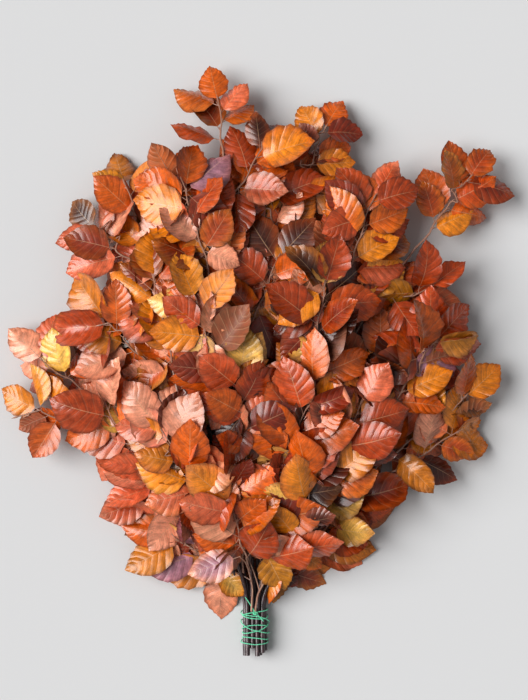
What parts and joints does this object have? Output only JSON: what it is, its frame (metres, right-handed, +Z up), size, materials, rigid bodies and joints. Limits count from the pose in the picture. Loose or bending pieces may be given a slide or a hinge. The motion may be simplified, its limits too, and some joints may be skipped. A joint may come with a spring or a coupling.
{
  "type": "bunch of preserved beech leaves",
  "caption": "Tied bunch of copper-brown preserved beech branches with leafy side sprays, lying flat, bare cut stems bound in green twine.",
  "frame": {"origin": "middle of the bounding box, at the surface the bunch lies on", "axes": "+Y from the tied stems to the leaf tips, +X across the fan of branches, +Z up from the surface"},
  "size_m": [0.6874, 0.7868, 0.1157],
  "materials": {
    "leaf": "satin",
    "bark": "satin",
    "twine": "satin"
  },
  "bodies": {
    "root": {"spray_01_a": "leaf", "spray_01_b": "leaf", "spray_01_c": "leaf", "spray_02_a": "leaf", "spray_02_b": "leaf", "spray_02_c": "leaf", "spray_03_a": "leaf", "spray_03_b": "leaf", "spray_03_c": "leaf", "spray_03_d": "leaf", "spray_04_a": "leaf", "spray_04_b": "leaf", "spray_04_c": "leaf", "spray_05_a": "leaf", "spray_05_b": "leaf", "spray_05_c": "leaf", "spray_06_a": "leaf", "spray_06_b": "leaf", "spray_06_c": "leaf", "spray_06_d": "leaf", "spray_06_e": "leaf", "spray_07_a": "leaf", "spray_07_b": "leaf", "spray_07_c": "leaf", "spray_07_d": "leaf", "spray_08_a": "leaf", "spray_08_b": "leaf", "spray_08_c": "leaf", "spray_08_d": "leaf", "spray_09_a": "leaf", "spray_09_b": "leaf", "spray_09_c": "leaf", "spray_10_a": "leaf", "spray_10_b": "leaf", "spray_10_c": "leaf", "spray_11_a": "leaf", "spray_11_b": "leaf", "spray_11_c": "leaf", "spray_11_d": "leaf", "spray_12_a": "leaf", "spray_12_b": "leaf", "spray_12_c": "leaf", "spray_12_d": "leaf", "spray_13_a": "leaf", "spray_13_b": "leaf", "spray_13_c": "leaf", "stem_01": "bark", "stem_02": "bark", "stem_03": "bark", "stem_04": "bark", "stem_05": "bark", "stem_06": "bark", "stem_07": "bark", "stem_08": "bark", "stem_09": "bark", "stem_10": "bark", "stem_11": "bark", "stem_12": "bark", "stem_13": "bark", "twine_binding": "twine"}
  },
  "joints": []
}
